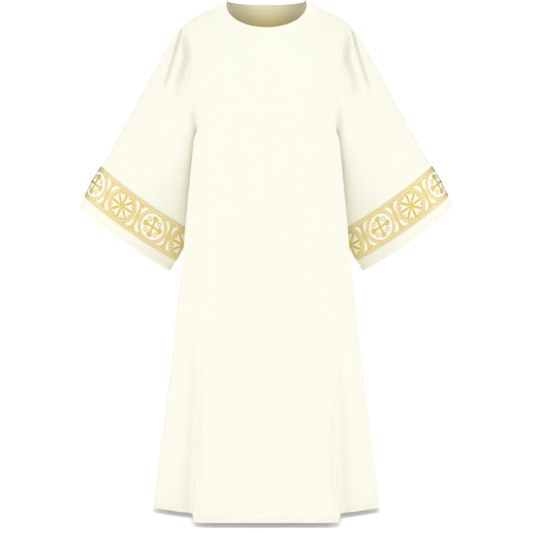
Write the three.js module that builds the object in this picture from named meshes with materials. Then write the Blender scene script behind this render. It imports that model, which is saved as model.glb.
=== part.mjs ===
// A dalmatic: the wide-sleeved, ankle-length outer tunic that a deacon wears.
// It is built as it hangs when worn, as hollow cloth with no wearer in it.
//
// Frame: millimetres, +Z up, the front faces -Y, and +X is the wearer's left.
// The origin lies midway between the two points where the shoulder seams meet
// the neckline, which is where the wearer's shoulders carry the cloth.
//
// Every piece is a grid of points on the outside of the cloth. Pieces that are
// sewn together share the points of their seam, and one set of normals, so the
// walls meet in a mitre and are then drawn back to leave a narrow seam gap.
import * as THREE from "three";

// ---------------------------------------------------------------- dimensions

const CLOTH = 2; // thickness of the cloth wall
const SEAM_GAP = 0.4; // between two pieces at a seam
const LAY_GAP = 0.3; // between a piece and the cloth that it lies on
const TRIM = 1.2; // thickness of the woven galloon
const FACING = 1; // thickness of the neck facing
const FACING_WIDTH = 16; // from the neck edge down the inside

const HEM_Z = -1318; // hem, below the shoulder and neck point
const CHEST_Z = -269; // the level where each front armhole is deepest
const UNDERARM_Z = -376; // where side seam, sleeve seam and armhole meet

const NECK_HALF = 104; // half the width of the neck opening
const NECK_FRONT = { y: -98, z: -76, round: 0.85 }; // lowest point in front
const NECK_BACK = { y: 62, z: -8, round: 1 }; // lowest point behind
const SHOULDER_TIP = { x: 217, z: -64 }; // outer end of the shoulder seam
const SHOULDER_BOW = 5; // how far the shoulder seam bows up, most near its outer end
const SHOULDER_ROUND = 0.75; // 0 is a flat slope up to the seam, 1 a quarter turn
const NECK_ROUND = 0.2; // the same, up the centre line to the neckline

// Half of a level section through the front and the back, one row a height.
// The cloth runs from the centre line to the fold, in behind it (tuck), to the
// bottom of the trough beside it (valley), out over the side (swell, corner)
// and back to the side seam. Depths are measured from the shoulder seam.
const columns = (names, rows) =>
  rows.map((row) => Object.fromEntries(names.map((name, i) => [name, row[i]])));

const SECTION_COLUMNS = [
  "z", "centreY", "foldX", "foldY", "tuckX", "tuckY", "valleyX", "valleyY",
  "swellX", "swellY", "cornerX", "cornerY",
];
const FRONT = columns(SECTION_COLUMNS, [
  [HEM_Z, -208, 180, -203, 187, -154, 194, -114, 243, -70, 288, -40],
  [-1090, -197, 168, -190, 171, -158, 181, -126, 223, -92, 261, -54],
  [-950, -188, 161, -178, 163, -158, 175, -138, 209, -113, 244, -70],
  [-820, -180, 156, -168, 164, -158, 177, -148, 207, -130, 233, -86],
  [-705, -173, 146, -163, 161, -156, 176, -148, 201, -132, 218, -100],
  [-540, -164, 130, -156, 148, -151, 164, -144, 187, -130, 202, -106],
  [UNDERARM_Z, -154, 115, -147, 134, -143, 150, -137, 172, -124, 186, -106],
  [CHEST_Z, -145, 105, -139, 124, -134, 141, -128, 161, -119, 176, -106],
]);
const BACK = columns(SECTION_COLUMNS, [
  [HEM_Z, 188, 158, 180, 158, 148, 172, 118, 228, 92, 280, 52],
  [-1090, 176, 146, 168, 148, 144, 162, 122, 210, 98, 253, 60],
  [-950, 166, 138, 158, 146, 143, 160, 127, 200, 106, 237, 66],
  [-820, 157, 133, 149, 148, 140, 165, 130, 196, 114, 226, 76],
  [-705, 150, 128, 143, 146, 137, 163, 130, 190, 117, 212, 86],
  [-540, 142, 120, 136, 138, 131, 156, 125, 180, 113, 196, 90],
  [UNDERARM_Z, 135, 112, 130, 131, 126, 148, 121, 170, 111, 184, 94],
  [CHEST_Z, 129, 105, 125, 124, 121, 142, 117, 162, 110, 177, 100],
]);
const SIDE_SEAM = columns(["z", "x"], [
  [HEM_Z, 299],
  [-1090, 269],
  [-950, 251],
  [-820, 229],
  [-705, 204],
  [-540, 171],
  [UNDERARM_Z, 170],
  [CHEST_Z, 179],
]);
const ARMHOLE_FRONT_Y = -93; // depth of the armhole at the chest level
const ARMHOLE_BACK_Y = 90;
const SCYE_ROUND = 0.4; // 0 meets in a V under the arm, 1 in a level curve

// Where each named point of a section sits along it, from centre (0) to seam
// (1), and how softly the cloth turns there. `steps` divides the stretch that
// ends at the point, and `shoulder` is the share of the shoulder seam from the
// neck at which the point's column ends.
const STOPS = columns(["name", "at", "soft", "steps", "shoulder"], [
  ["centre", 0, 1, 0, 0],
  ["fold", 0.4, 0.3, 5, 0],
  ["tuck", 0.48, 0.8, 2, 0.22],
  ["valley", 0.57, 0.8, 2, 0.44],
  ["swell", 0.7, 0.9, 2, 0.66],
  ["corner", 0.85, 0.6, 2, 0.88],
  ["seam", 1, 1, 3, 1],
]);
const NECK_END = STOPS[1].at; // the column that runs up to the neck point

// Steps of each panel from the hem to the underarm, on to the chest, and over
// the shoulder.
const SKIRT_STEPS = 13;
const SCYE_STEPS = 5;
const YOKE_STEPS = 8;

// Sleeve sections, from the armhole to the cuff. `top` and `under` are how far
// the section is from the cuff along the overarm and the underarm; `half` is
// half of its depth, front to back, and `egg` is how much fuller it is along
// the arm than below it (less than 0: fuller below, where it meets the body).
const OVER_RUN = columns(["from", "x", "z"], [
  [0, 485, -531],
  [74, 453, -464],
  [148, 413, -401],
  [220, 377, -338],
  [291, 343, -276],
  [362, 309, -214],
  [432, 275, -152],
  [480, 250, -110],
  [526, 226, -71],
  [538, SHOULDER_TIP.x, SHOULDER_TIP.z],
]);
const UNDER_RUN = columns(["from", "x", "z"], [
  [0, 251, -698],
  [71, 215, -636],
  [124, 199, -585],
  [208, 187, -502],
  [272, 181, -439],
  [296, 184, -410],
  [318, 186, -385],
  [336, SIDE_SEAM.find((row) => row.z === UNDERARM_Z).x, UNDERARM_Z],
]);
const CUFF_BOW = 6; // how far the cuff bows past the straight between its ends
const BAND_LOW = 30; // cuff edge to the galloon's lower edge
const BAND_HIGH = 118; // and to its upper edge
const SLEEVE = columns(["top", "under", "half", "egg"], [
  [538, 336, 92, 0],
  [505, 318, 92, -0.12],
  [465, 296, 91, -0.22],
  [420, 272, 89, -0.26],
  [370, 246, 86, -0.26],
  [315, 217, 81, -0.22],
  [258, 188, 74, -0.15],
  [205, 162, 66, -0.06],
  [160, 140, 60, 0.06],
  [BAND_HIGH, BAND_HIGH, 55, 0.16],
  [96, 96, 53, 0.21],
  [74, 74, 51, 0.25],
  [52, 52, 49, 0.28],
  [BAND_LOW, BAND_LOW, 48, 0.3],
  [14, 14, 47, 0.3],
  [0, 0, 46, 0.3],
]);
const HANDWARD = { x: 0.57, z: -0.82 }; // the way down the sleeve, seen from the front
const SCYE_REACH = 0.4; // share of the sleeve over which the armhole's shape fades

// Creases and hollows pressed into the cloth, as troughs along a straight line
// seen from the front. `deep` is into the cloth, and each fades at its ends.
const HOLLOWS = columns(["piece", "x0", "z0", "x1", "z1", "wide", "deep"], [
  ["sleeve", 219, -72, 256, -214, 11, 5],
  ["sleeve", 216, -84, 203, -250, 20, 12],
  ["back", 190, -110, 196, -300, 34, 7],
]);

// --------------------------------------------------------------- curve tools

const lerp = (a, b, t) => a + (b - a) * t;
const clamp01 = (t) => Math.min(1, Math.max(0, t));
const ease = (t) => clamp01(t) ** 2 * (3 - 2 * clamp01(t));

/** A cubic between two values with given slopes, over a step of width h. */
function cubic(a, b, slopeA, slopeB, h, t) {
  const t2 = t * t;
  const t3 = t2 * t;
  return (
    (2 * t3 - 3 * t2 + 1) * a +
    (t3 - 2 * t2 + t) * h * slopeA +
    (3 * t2 - 2 * t3) * b +
    (t3 - t2) * h * slopeB
  );
}

/** The step of a rising list of positions that holds `at`. */
function stepOf(positions, at) {
  let i = 0;
  while (i < positions.length - 2 && at > positions[i + 1]) i++;
  return i;
}

/** A smooth curve through one column of a table, read at `at`. */
function along(table, key, value, at) {
  const k = table.map((row) => row[key]);
  const v = table.map((row) => row[value]);
  const rate = (i) => (v[i + 1] - v[i]) / (k[i + 1] - k[i]);
  const slope = (i) => {
    if (i === 0) return rate(0);
    if (i === k.length - 1) return rate(i - 1);
    const before = k[i] - k[i - 1];
    const after = k[i + 1] - k[i];
    return (rate(i - 1) * after + rate(i) * before) / (before + after);
  };
  const i = stepOf(k, at);
  const h = k[i + 1] - k[i];
  return cubic(v[i], v[i + 1], slope(i), slope(i + 1), h, (at - k[i]) / h);
}

/** How far a point seen from the front is pressed in by the hollows. */
function hollow(piece, x, z) {
  let deep = 0;
  for (const h of HOLLOWS) {
    if (h.piece !== piece) continue;
    const dx = h.x1 - h.x0;
    const dz = h.z1 - h.z0;
    const length = Math.hypot(dx, dz);
    const share = ((Math.abs(x) - h.x0) * dx + (z - h.z0) * dz) / length ** 2;
    const off = ((Math.abs(x) - h.x0) * dz - (z - h.z0) * dx) / length;
    const end = clamp01(share);
    const past = (share - end) * length;
    const fade = Math.sin(Math.PI * (0.08 + 0.92 * end)) ** 0.7;
    deep += h.deep * fade * Math.exp(-((off / h.wide) ** 2) - (past / h.wide) ** 2);
  }
  return deep;
}

// ------------------------------------------------------------------ the body

/** The armhole's edge from the underarm (turn 0) up to the chest (turn 1). */
function scye(side, turn) {
  const a = (turn * Math.PI) / 2;
  const up = lerp(turn, 1 - Math.cos(a), SCYE_ROUND);
  return { y: side.armholeY * Math.sin(a), z: lerp(UNDERARM_Z, CHEST_Z, up) };
}

/** A point of a level section; `c` runs from the centre (0) to the seam (1). */
function sectionPoint(side, z, c, seamY) {
  const read = (key) => along(side.table, "z", key, z);
  const points = STOPS.map(({ name }) => {
    if (name === "centre") return [0, read("centreY")];
    if (name === "seam") return [along(SIDE_SEAM, "z", "x", z), seamY];
    return [read(name + "X"), read(name + "Y")];
  });
  const k = STOPS.map((stop) => stop.at);
  const last = STOPS.length - 1;
  const slope = (i, axis) => {
    if (i === 0) return axis === 0 ? points[1][0] / k[1] : 0;
    if (i === last)
      return axis === 0 ? 0 : (points[i][1] - points[i - 1][1]) / (k[i] - k[i - 1]);
    const run = points[i + 1][axis] - points[i - 1][axis];
    return (STOPS[i].soft * run) / (k[i + 1] - k[i - 1]);
  };
  const i = stepOf(k, c);
  const h = k[i + 1] - k[i];
  const t = (c - k[i]) / h;
  return [0, 1].map((axis) =>
    cubic(points[i][axis], points[i + 1][axis], slope(i, axis), slope(i + 1, axis), h, t),
  );
}

/** The top edge of a panel: half of the neckline, then the shoulder seam. */
function topEdge(side, c) {
  if (c <= NECK_END) {
    const a = ((c / NECK_END) * Math.PI) / 2;
    const fall = Math.cos(a) ** side.neck.round;
    return [NECK_HALF * Math.sin(a), side.neck.y * Math.cos(a), side.neck.z * fall];
  }
  const share = along(STOPS.slice(1), "at", "shoulder", c);
  const bow = SHOULDER_BOW * 9.5 * share ** 3 * (1 - share);
  const x = lerp(NECK_HALF, SHOULDER_TIP.x, share);
  return [x, 0, SHOULDER_TIP.z * share + bow];
}

/** A point of a panel. `c` is -1 to 1 across; `rise` is 0 at the hem, 1 at the
 *  underarm, 2 at the chest and 3 along the neck and shoulders. */
function panelPoint(side, c, rise) {
  const across = Math.abs(c);
  let point;
  if (rise <= 2) {
    const seam = rise > 1 ? scye(side, rise - 1) : { y: 0, z: lerp(HEM_Z, UNDERARM_Z, rise) };
    point = [...sectionPoint(side, seam.z, across, seam.y), seam.z];
  } else {
    const t = rise - 2;
    const quarter = (t * Math.PI) / 2;
    const round = lerp(NECK_ROUND, SHOULDER_ROUND, ease(across / NECK_END));
    const up = lerp(t, Math.sin(quarter), round);
    const over = lerp(t, 1 - Math.cos(quarter), round);
    const chest = sectionPoint(side, CHEST_Z, across, side.armholeY);
    const top = topEdge(side, across);
    point = [lerp(chest[0], top[0], t), lerp(chest[1], top[1], over), 0];
    point[2] = lerp(CHEST_Z, top[2], up);
  }
  const inward = -Math.sign(side.armholeY);
  const inside = clamp01((1 - across) * 8) * clamp01((3 - rise) * 2); // seams keep their place
  const y = point[1] + inward * inside * hollow(side.name, point[0], point[2]);
  return new THREE.Vector3(Math.sign(c || 1) * point[0], y, point[2]);
}

const front = { name: "front", table: FRONT, armholeY: ARMHOLE_FRONT_Y, neck: NECK_FRONT };
const back = { name: "back", table: BACK, armholeY: ARMHOLE_BACK_Y, neck: NECK_BACK };

/** Positions across half a panel, from the centre to the seam. */
function halfColumns() {
  const list = [0];
  STOPS.slice(1).forEach((stop, i) => {
    for (let n = 1; n <= stop.steps; n++)
      list.push(lerp(STOPS[i].at, stop.at, n / stop.steps));
  });
  return list;
}

/** Evenly spread values, both ends included. */
const spread = (from, to, steps) =>
  Array.from({ length: steps + 1 }, (_, i) => lerp(from, to, i / steps));

const RISES = [
  ...spread(0, 1, SKIRT_STEPS),
  ...spread(1, 2, SCYE_STEPS).slice(1),
  ...spread(2, 3, YOKE_STEPS).slice(1),
];

/** How far up a column the cloth is a facing's width from the top edge. */
function riseUnderEdge(side, c) {
  const edge = panelPoint(side, c, 3);
  let [low, high] = [2, 3];
  while (high - low > 1e-6) {
    const middle = (low + high) / 2;
    const near = panelPoint(side, c, middle).distanceTo(edge) < FACING_WIDTH;
    [low, high] = near ? [low, middle] : [middle, high];
  }
  return low;
}

/** A body panel's grid, its rows running from the hem to the neck. */
function panelGrid(side) {
  const half = halfColumns();
  const across = [...half.slice(1).reverse().map((c) => -c), ...half];
  const rows = RISES.map((rise) => across.map((c) => panelPoint(side, c, rise)));
  const facingEdge = across.map((c) => panelPoint(side, c, riseUnderEdge(side, c)));
  rows.splice(-1, 0, facingEdge);
  if (side === back) rows.forEach((row) => row.reverse());
  return { rows, closed: false };
}

// --------------------------------------------------------------- the sleeves

/** The armhole's loop: down the front from the shoulder tip, up the back. */
function armholeLoop(panels, sign) {
  const edge = (grid, atEnd) =>
    grid.rows.slice(SKIRT_STEPS).map((row) => (atEnd ? row.at(-1) : row[0]));
  const down = edge(panels.front_panel, sign > 0).reverse();
  const up = edge(panels.back_panel, sign < 0).slice(1, -1);
  return [...down, ...up];
}

/** The ends of a sleeve section, its half depth and how far it bows toward the
 *  hand; `share` is 0 at the armhole and 1 at the cuff. */
function sleeveSection(row) {
  const at = (table, from) => ["x", "z"].map((key) => along(table, "from", key, from));
  const share = 1 - row.top / SLEEVE[0].top;
  const [top, under] = [at(OVER_RUN, row.top), at(UNDER_RUN, row.under)];
  return { top, under, half: row.half, egg: row.egg, bow: CUFF_BOW * share, share };
}

/** A point of the egg-shaped loop of a section; `angle` starts at the overarm
 *  and is positive in front. */
function eggPoint(section, angle, sign) {
  const q = (1 - Math.cos(angle)) / 2;
  const depth = Math.sin(angle) * (1 + section.egg * Math.cos(angle));
  const bow = section.bow * Math.sin(angle) ** 2;
  const x = lerp(section.top[0], section.under[0], q) + bow * HANDWARD.x;
  const z = lerp(section.top[1], section.under[1], q) + bow * HANDWARD.z;
  return new THREE.Vector3(sign * x, -section.half * depth, z);
}

/** The angle round a section at which an armhole point goes on down the sleeve. */
function loopAngle(point, first) {
  const [x0, z0] = first.top;
  const [x1, z1] = first.under;
  const dx = x1 - x0;
  const dz = z1 - z0;
  const run = (Math.abs(point.x) - x0) * dx + (point.z - z0) * dz;
  const q = clamp01(run / (dx * dx + dz * dz));
  return Math.acos(1 - 2 * q) * (point.y > 0 ? -1 : 1);
}

/** A sleeve's grid: one closed row a section, from the armhole to the cuff. */
function sleeveGrid(panels, sign) {
  const loop = armholeLoop(panels, sign);
  const first = sleeveSection(SLEEVE[0]);
  const angles = loop.map((point) => loopAngle(point, first));
  const rows = SLEEVE.map((row) => {
    const section = sleeveSection(row);
    const armhole = 1 - ease(section.share / SCYE_REACH);
    return loop.map((point, j) => {
      const start = eggPoint(first, angles[j], sign);
      const made = eggPoint(section, angles[j], sign);
      made.addScaledVector(point.clone().sub(start), armhole);
      const facing = Math.sin(angles[j]);
      const press = section.share > 0 ? hollow("sleeve", made.x, made.z) : 0;
      made.y += facing * press;
      return made;
    });
  });
  if (sign < 0) rows.forEach((row) => row.reverse());
  return { rows, closed: true };
}

/** The rows of a sleeve that the galloon covers. */
function bandGrid(sleeve) {
  const rows = sleeve.rows.filter(
    (_, i) => SLEEVE[i].top >= BAND_LOW && SLEEVE[i].top <= BAND_HIGH,
  );
  return { rows, closed: true };
}

// ------------------------------------------------------------ the neck facing

/** The strip under the back neckline, between the back panel's two top rows. */
function neckGrid(panel) {
  const half = halfColumns().filter((c) => c <= NECK_END).length - 1;
  const span = (row) => row.slice((row.length - 1) / 2 - half, (row.length + 1) / 2 + half);
  return { rows: panel.rows.slice(-2).map(span), closed: false };
}

// ------------------------------------------------------------- cloth to solid

const MITRE_EASE = 0.05; // evens out the offset where faces are almost level
const keyOf = (p) => [p.x, p.y, p.z].map((v) => Math.round(v * 50)).join();

/** The unit normal of each quad of a grid, handed to `visit` with its corners. */
function eachQuad(grid, visit) {
  const { rows, closed } = grid;
  const count = rows[0].length;
  for (let i = 0; i < rows.length - 1; i++) {
    for (let j = 0; j < (closed ? count : count - 1); j++) {
      const n = (j + 1) % count;
      const corners = [rows[i][j], rows[i][n], rows[i + 1][n], rows[i + 1][j]];
      const one = corners[2].clone().sub(corners[0]);
      const other = corners[3].clone().sub(corners[1]);
      visit(one.cross(other).normalize(), corners);
    }
  }
}

/** The offset that moves every face round a point out by one, as near as can
 *  be, found by least squares and kept from growing long at a sharp turn. */
function mitre(normals) {
  const mean = normals.reduce((sum, n) => sum.add(n), new THREE.Vector3()).normalize();
  const square = new Array(9).fill(0);
  const side = mean.clone().multiplyScalar(MITRE_EASE);
  for (const n of normals) {
    const v = n.toArray();
    v.forEach((a, r) => v.forEach((b, c) => (square[r * 3 + c] += a * b)));
    side.add(n);
  }
  for (const k of [0, 4, 8]) square[k] += MITRE_EASE;
  return side.applyMatrix3(new THREE.Matrix3().fromArray(square).invert()).clampLength(1, 1.9);
}

/** One offset for each point that any grid has, the same for all its pieces. */
function sharedNormals(grids) {
  const found = new Map();
  for (const grid of grids)
    eachQuad(grid, (normal, corners) => {
      for (const corner of corners) {
        const key = keyOf(corner);
        if (!found.has(key)) found.set(key, []);
        found.get(key).push(normal);
      }
    });
  const offsets = new Map([...found].map(([key, normals]) => [key, mitre(normals)]));
  return (point) => offsets.get(keyOf(point));
}

/** A grid's edge rows and columns, drawn in by half the gap at a seam. */
function drawnIn(grid, gap) {
  const { rows, closed } = grid;
  const last = rows.length - 1;
  const end = rows[0].length - 1;
  const toward = (from, to) => to.clone().sub(from).setLength(gap / 2);
  return rows.map((row, i) =>
    row.map((point, j) => {
      const moved = new THREE.Vector3();
      if (i === 0) moved.add(toward(point, rows[1][j]));
      if (i === last) moved.add(toward(point, rows[last - 1][j]));
      if (!closed && j === 0) moved.add(toward(point, row[1]));
      if (!closed && j === end) moved.add(toward(point, row[end - 1]));
      return moved;
    }),
  );
}

/** The closed wall between two distances out from a grid. */
function wall(grid, directionOf, outer, inner, gap) {
  const { rows, closed } = grid;
  const moves = drawnIn(grid, gap);
  const count = rows[0].length;
  const position = [];
  for (const out of [outer, inner])
    rows.forEach((row, i) =>
      row.forEach((point, j) => {
        const at = point.clone().addScaledVector(directionOf(point), out).add(moves[i][j]);
        position.push(at.x, at.y, at.z);
      }),
    );
  const layer = rows.length * count;
  const index = [];
  const gridPoint = (k) => rows[Math.floor(k / count)][k % count];
  const quad = (a, b, c, d, turned) =>
    index.push(...(turned ? [a, b, d, b, c, d] : [a, b, c, a, c, d]));
  // Both faces are cut along one diagonal, mirrored from side to side.
  const faces = (a, b, c, d) => {
    const turned = gridPoint(a).x + gridPoint(c).x < 0;
    quad(a, b, c, d, turned);
    quad(a + layer, d + layer, c + layer, b + layer, turned);
  };
  // A seam's face is cut from its lower outer corner, whichever piece it is on.
  const edgeFace = (a, b) =>
    quad(a, b, b + layer, a + layer, gridPoint(b).z < gridPoint(a).z);
  const last = rows.length - 1;
  for (let j = 0; j < (closed ? count : count - 1); j++) {
    const n = (j + 1) % count;
    for (let i = 0; i < last; i++)
      faces(i * count + j, i * count + n, (i + 1) * count + n, (i + 1) * count + j);
    edgeFace(n, j);
    edgeFace(last * count + j, last * count + n);
  }
  for (let i = 0; i < last && !closed; i++) {
    edgeFace(i * count, (i + 1) * count);
    edgeFace((i + 2) * count - 1, (i + 1) * count - 1);
  }
  const geometry = new THREE.BufferGeometry();
  geometry.setAttribute("position", new THREE.Float32BufferAttribute(position, 3));
  geometry.setIndex(index);
  geometry.computeVertexNormals();
  return geometry;
}

// ------------------------------------------------------------------ assembly

const ivory = new THREE.MeshStandardMaterial({ color: 0xf7f5e6, roughness: 0.85, metalness: 0 });
const gold = new THREE.MeshStandardMaterial({ color: 0xe3cd7c, roughness: 0.55, metalness: 0 });

const panels = { front_panel: panelGrid(front), back_panel: panelGrid(back) };
const grids = {
  ...panels,
  sleeve_left: sleeveGrid(panels, 1),
  sleeve_right: sleeveGrid(panels, -1),
};
const directionOf = sharedNormals(Object.values(grids));

const UNDER = -CLOTH - LAY_GAP;

const dalmatic = new THREE.Group();

/** Adds one named piece to the garment. */
function sew(name, geometry, material) {
  const mesh = new THREE.Mesh(geometry, material);
  mesh.name = name;
  dalmatic.add(mesh);
}

for (const [name, grid] of Object.entries(grids))
  sew(name, wall(grid, directionOf, 0, -CLOTH, SEAM_GAP), ivory);

for (const hand of ["left", "right"]) {
  const band = bandGrid(grids["sleeve_" + hand]);
  sew("galloon_" + hand, wall(band, directionOf, LAY_GAP + TRIM, LAY_GAP, 0), gold);
}

const facing = wall(neckGrid(panels.back_panel), directionOf, UNDER, UNDER - FACING, SEAM_GAP);
sew("neck_facing", facing, ivory);

export default dalmatic;
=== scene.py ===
# %% [markdown]
# # Dressing a dalmatic in Blender
#
# A dalmatic is the long, wide-sleeved tunic that a deacon wears. This lesson
# takes the plain solids of one, which only have its size and main folds, and
# lays real-looking cloth, trim and stitching over them. All lengths in the
# tables are millimetres, as a tailor would measure them. +Z is up, the front
# faces -Y, and the origin is between the two shoulder and neck points.

# %% Load the solids
import math

import bpy
import numpy as np
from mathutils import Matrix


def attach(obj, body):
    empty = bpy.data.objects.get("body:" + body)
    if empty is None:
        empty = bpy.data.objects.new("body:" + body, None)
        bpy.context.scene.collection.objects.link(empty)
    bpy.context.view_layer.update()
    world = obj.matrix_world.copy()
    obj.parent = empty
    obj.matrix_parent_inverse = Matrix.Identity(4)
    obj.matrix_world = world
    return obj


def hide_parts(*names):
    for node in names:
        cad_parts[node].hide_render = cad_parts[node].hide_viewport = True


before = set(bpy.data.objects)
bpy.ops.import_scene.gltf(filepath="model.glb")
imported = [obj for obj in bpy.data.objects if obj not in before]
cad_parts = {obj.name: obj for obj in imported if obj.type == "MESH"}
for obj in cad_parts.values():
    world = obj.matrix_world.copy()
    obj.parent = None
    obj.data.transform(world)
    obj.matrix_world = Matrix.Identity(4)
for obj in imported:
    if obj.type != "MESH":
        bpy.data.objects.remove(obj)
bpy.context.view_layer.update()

print("solids:", ", ".join(sorted(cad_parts)))

# %% [markdown]
# ## One smooth curve for everything
#
# Cloth has no corners of its own, so each measurement that changes from one
# place to the next is read from a smooth curve. Blender's own curves could do
# this, but a short function keeps the tables as plain numbers, and the same
# function then gives sections, seams and sleeves. It passes through every
# value of a table and picks its slopes from the neighbouring rows.


# %% Smooth curves through a table
def blend_cubic(a, b, slope_a, slope_b, width, t):
    """A cubic from a to b with those slopes, over a step of that width."""
    t2, t3 = t * t, t * t * t
    return (
        (2 * t3 - 3 * t2 + 1) * a
        + (t3 - 2 * t2 + t) * width * slope_a
        + (3 * t2 - 2 * t3) * b
        + (t3 - t2) * width * slope_b
    )


def through(keys, values, at):
    """Reads a smooth curve through (keys, values) at any places."""
    keys, values, at = (np.asarray(x, float) for x in (keys, values, at))
    gaps = np.diff(keys)
    rates = np.diff(values) / gaps
    slopes = np.empty_like(values)
    slopes[0], slopes[-1] = rates[0], rates[-1]
    slopes[1:-1] = (rates[:-1] * gaps[1:] + rates[1:] * gaps[:-1]) / (gaps[1:] + gaps[:-1])
    i = np.clip(np.searchsorted(keys, at, side="left") - 1, 0, len(keys) - 2)
    t = (at - keys[i]) / gaps[i]
    return blend_cubic(values[i], values[i + 1], slopes[i], slopes[i + 1], gaps[i], t)


def table(names, rows):
    """A table with named columns."""
    return dict(zip(names.split(), np.array(rows, float).T))


def mix(a, b, t):
    """The value that lies a share t of the way from a to b."""
    return a + (b - a) * t


def ease(t):
    """Rises softly from 0, where t is 0, to 1, where t is 1."""
    t = np.clip(t, 0, 1)
    return t * t * (3 - 2 * t)


def rising(value, start, run):
    """0 up to start, then rising softly to 1 over a run."""
    return ease((value - start) / run)


sample = through([0, 1, 2], [0, 10, 10], [0.25, 0.5, 0.75])
print("between 0 and 10, a smooth curve passes", [float(value) for value in sample])

# %% [markdown]
# ## The body's shape
#
# Half of a level section through the front or the back is fixed by a few named
# points: the centre, the edge of the long side fold, the cloth tucked in behind
# it, the valley beside it, the swell and corner of the side, and the side seam.
# One row of a table is one height. This is how the solids were made too, so
# the fine cloth lies on them.

# %% Tables for the body
HEM_Z = -1318
CHEST_Z = -269
UNDERARM_Z = -376
NECK_HALF = 104
NECK = {"front": dict(y=-98, z=-76, round=0.85), "back": dict(y=62, z=-6, round=1.4)}
# How far the neck's ends roll in and up, and which share of the edge and of
# the height above the chest takes part.
NECK_ROLL = {"x": -5, "z": 2.5, "reach": 0.14, "from": 0.9}
NECK_ROUND = 0.2  # how round the cloth lies beside the neck
SHOULDER_TIP = dict(x=217, z=-64)
SHOULDER_ROUND = 0.75  # and at the tip of the shoulder
SHOULDER_BOW = 5  # how high the shoulder seam bows up
# The armhole's edge below the chest. A tailor calls this edge the scye.
ARMHOLE_Y = {"front": -93, "back": 90}
SCYE_ROUND = 0.4  # how soon it turns upwards, from 0 to 1
SCYE_SQUARE = 0.48  # the less, the squarer its lower corner

SECTION = "z centreY foldX foldY tuckX tuckY valleyX valleyY swellX swellY cornerX cornerY"
BODY = {
    "front": table(SECTION, [
        [HEM_Z, -208, 180, -203, 187, -154, 194, -114, 243, -70, 288, -40],
        [-1090, -197, 168, -190, 171, -158, 181, -126, 223, -92, 261, -54],
        [-950, -188, 161, -178, 163, -158, 175, -138, 209, -113, 244, -70],
        [-820, -180, 156, -168, 164, -158, 177, -148, 207, -130, 233, -86],
        [-705, -173, 146, -163, 161, -156, 176, -148, 201, -132, 218, -100],
        [-540, -164, 130, -156, 148, -151, 164, -144, 187, -130, 202, -106],
        [UNDERARM_Z, -154, 115, -147, 134, -143, 150, -137, 172, -124, 186, -106],
        [CHEST_Z, -145, 105, -139, 124, -134, 141, -128, 161, -119, 176, -106],
    ]),
    "back": table(SECTION, [
        [HEM_Z, 188, 158, 180, 158, 148, 172, 118, 228, 92, 280, 52],
        [-1090, 176, 146, 168, 148, 144, 162, 122, 210, 98, 253, 60],
        [-950, 166, 138, 158, 146, 143, 160, 127, 200, 106, 237, 66],
        [-820, 157, 133, 149, 148, 140, 165, 130, 196, 114, 226, 76],
        [-705, 150, 128, 143, 146, 137, 163, 130, 190, 117, 212, 86],
        [-540, 142, 120, 136, 138, 131, 156, 125, 180, 113, 196, 90],
        [UNDERARM_Z, 135, 112, 130, 131, 126, 148, 121, 170, 111, 184, 94],
        [CHEST_Z, 129, 105, 125, 124, 121, 142, 117, 162, 110, 177, 100],
    ]),
}
SIDE_SEAM = table("z x", [
    [HEM_Z, 299], [-1090, 269], [-950, 251], [-820, 229],
    [-705, 204], [-540, 171], [UNDERARM_Z, 170], [CHEST_Z, 179],
])
# Where each named point sits from the centre (0) to the seam (1), how softly
# the cloth turns there, and where its column ends on the shoulder seam.
STOP_NAMES = ["centre", "fold", "tuck", "valley", "swell", "corner", "seam"]
STOPS = table("at soft shoulder", [
    [0, 1, 0], [0.4, 0.3, 0], [0.48, 0.8, 0.22], [0.57, 0.8, 0.44],
    [0.7, 0.9, 0.66], [0.85, 0.6, 0.88], [1, 1, 1],
])
NECK_END = STOPS["at"][1]

print("heights in a body table:", len(BODY["front"]["z"]), "and named points:", len(STOP_NAMES))


# %% Points of a body panel
def scye(side, turn):
    """The armhole's edge from the underarm (turn 0) to the chest (turn 1)."""
    a = turn * math.pi / 2
    up = mix(turn, 1 - np.cos(a), SCYE_ROUND)
    return ARMHOLE_Y[side] * np.sin(a) ** SCYE_SQUARE, mix(UNDERARM_Z, CHEST_Z, up)


def section(side, z, seam_y, c):
    """Level sections at heights z, each at every place c from centre to seam."""
    body, at = BODY[side], STOPS["at"]

    def read(key):
        return through(body["z"], body[key], z)

    x = [0 * z] + [read(n + "X") for n in STOP_NAMES[1:-1]]
    x += [through(SIDE_SEAM["z"], SIDE_SEAM["x"], z)]
    y = [read(n + "Y") for n in STOP_NAMES[:-1]] + [seam_y]
    found = []
    for axis, v in enumerate((np.array(x), np.array(y))):
        slopes = np.zeros_like(v)
        slopes[0] = v[1] / at[1] if axis == 0 else 0
        slopes[-1] = 0 if axis == 0 else (v[-1] - v[-2]) / (at[-1] - at[-2])
        run = (at[2:] - at[:-2])[:, None]
        slopes[1:-1] = STOPS["soft"][1:-1, None] * (v[2:] - v[:-2]) / run
        i = np.clip(np.searchsorted(at, c, side="left") - 1, 0, len(at) - 2)
        width = (at[i + 1] - at[i])[:, None]
        t = (c - at[i])[:, None] / width
        found.append(blend_cubic(v[i], v[i + 1], slopes[i], slopes[i + 1], width, t).T)
    return found


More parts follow.
